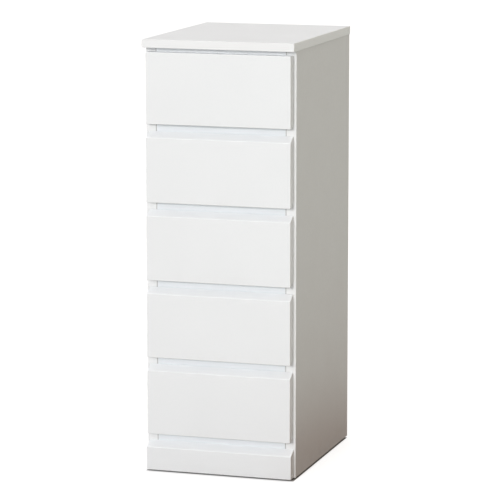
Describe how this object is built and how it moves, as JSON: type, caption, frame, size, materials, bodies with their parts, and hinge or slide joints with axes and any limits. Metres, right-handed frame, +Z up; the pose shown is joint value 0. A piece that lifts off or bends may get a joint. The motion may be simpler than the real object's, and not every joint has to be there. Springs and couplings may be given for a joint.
{
  "type": "chest of drawers",
  "caption": "Tall slim white chest of drawers with handleless fronts, pulled by the lower edge through a finger gap above each bevelled top edge.",
  "frame": {"origin": "on the floor, under the middle of the chest", "axes": "+Z up, -Y towards the front, +X to the right as seen from the front"},
  "size_m": [0.3, 0.39, 0.835],
  "materials": {
    "white_board": "satin white laminate on board, edges banded",
    "white_front": "satin white foil on board",
    "drawer_board": "matt white foil on board",
    "drawer_bottom_board": "thin fibreboard, painted white on top",
    "back_fibreboard": "thin fibreboard, plain brown on the back",
    "runner_wood": "planed, unfinished",
    "glide_plastic": "moulded, matt dark grey",
    "fixing_steel": "bright zinc plated screws and nails",
    "stop_pad_silicone": "milky clear silicone"
  },
  "bodies": {
    "carcass": {"top_panel": "white_board", "side_panel_left": "white_board", "side_panel_right": "white_board", "back_panel": "back_fibreboard", "bottom_panel": "white_board", "plinth_board": "white_front", "plinth_rear_rail": "white_board", "rail_top_front": "white_board", "rail_top_rear": "white_board", "rail_1_2": "white_board", "rail_2_3": "white_board", "rail_3_4": "white_board", "rail_4_5": "white_board", "rail_bottom_front": "white_board", "runner_1_left": "runner_wood", "runner_1_right": "runner_wood", "runner_2_left": "runner_wood", "runner_2_right": "runner_wood", "runner_3_left": "runner_wood", "runner_3_right": "runner_wood", "runner_4_left": "runner_wood", "runner_4_right": "runner_wood", "runner_5_left": "runner_wood", "runner_5_right": "runner_wood", "glide_front_left": "glide_plastic", "glide_front_right": "glide_plastic", "glide_rear_left": "glide_plastic", "glide_rear_right": "glide_plastic"},
    "drawer_1": {"drawer_1_front": "white_front", "drawer_1_box_front": "drawer_board", "drawer_1_box_side_left": "drawer_board", "drawer_1_box_side_right": "drawer_board", "drawer_1_box_back": "drawer_board", "drawer_1_bottom": "drawer_bottom_board"},
    "drawer_2": {"drawer_2_front": "white_front", "drawer_2_box_front": "drawer_board", "drawer_2_box_side_left": "drawer_board", "drawer_2_box_side_right": "drawer_board", "drawer_2_box_back": "drawer_board", "drawer_2_bottom": "drawer_bottom_board"},
    "drawer_3": {"drawer_3_front": "white_front", "drawer_3_box_front": "drawer_board", "drawer_3_box_side_left": "drawer_board", "drawer_3_box_side_right": "drawer_board", "drawer_3_box_back": "drawer_board", "drawer_3_bottom": "drawer_bottom_board"},
    "drawer_4": {"drawer_4_front": "white_front", "drawer_4_box_front": "drawer_board", "drawer_4_box_side_left": "drawer_board", "drawer_4_box_side_right": "drawer_board", "drawer_4_box_back": "drawer_board", "drawer_4_bottom": "drawer_bottom_board"},
    "drawer_5": {"drawer_5_front": "white_front", "drawer_5_box_front": "drawer_board", "drawer_5_box_side_left": "drawer_board", "drawer_5_box_side_right": "drawer_board", "drawer_5_box_back": "drawer_board", "drawer_5_bottom": "drawer_bottom_board"}
  },
  "joints": [
    {"name": "drawer_1_slide", "type": "slide", "parent": "carcass", "child": "drawer_1", "axis": [0, -1, 0], "range_m": [0, 0.25]},
    {"name": "drawer_2_slide", "type": "slide", "parent": "carcass", "child": "drawer_2", "axis": [0, -1, 0], "range_m": [0, 0.25]},
    {"name": "drawer_3_slide", "type": "slide", "parent": "carcass", "child": "drawer_3", "axis": [0, -1, 0], "range_m": [0, 0.25]},
    {"name": "drawer_4_slide", "type": "slide", "parent": "carcass", "child": "drawer_4", "axis": [0, -1, 0], "range_m": [0, 0.25]},
    {"name": "drawer_5_slide", "type": "slide", "parent": "carcass", "child": "drawer_5", "axis": [0, -1, 0], "range_m": [0, 0.25]}
  ]
}
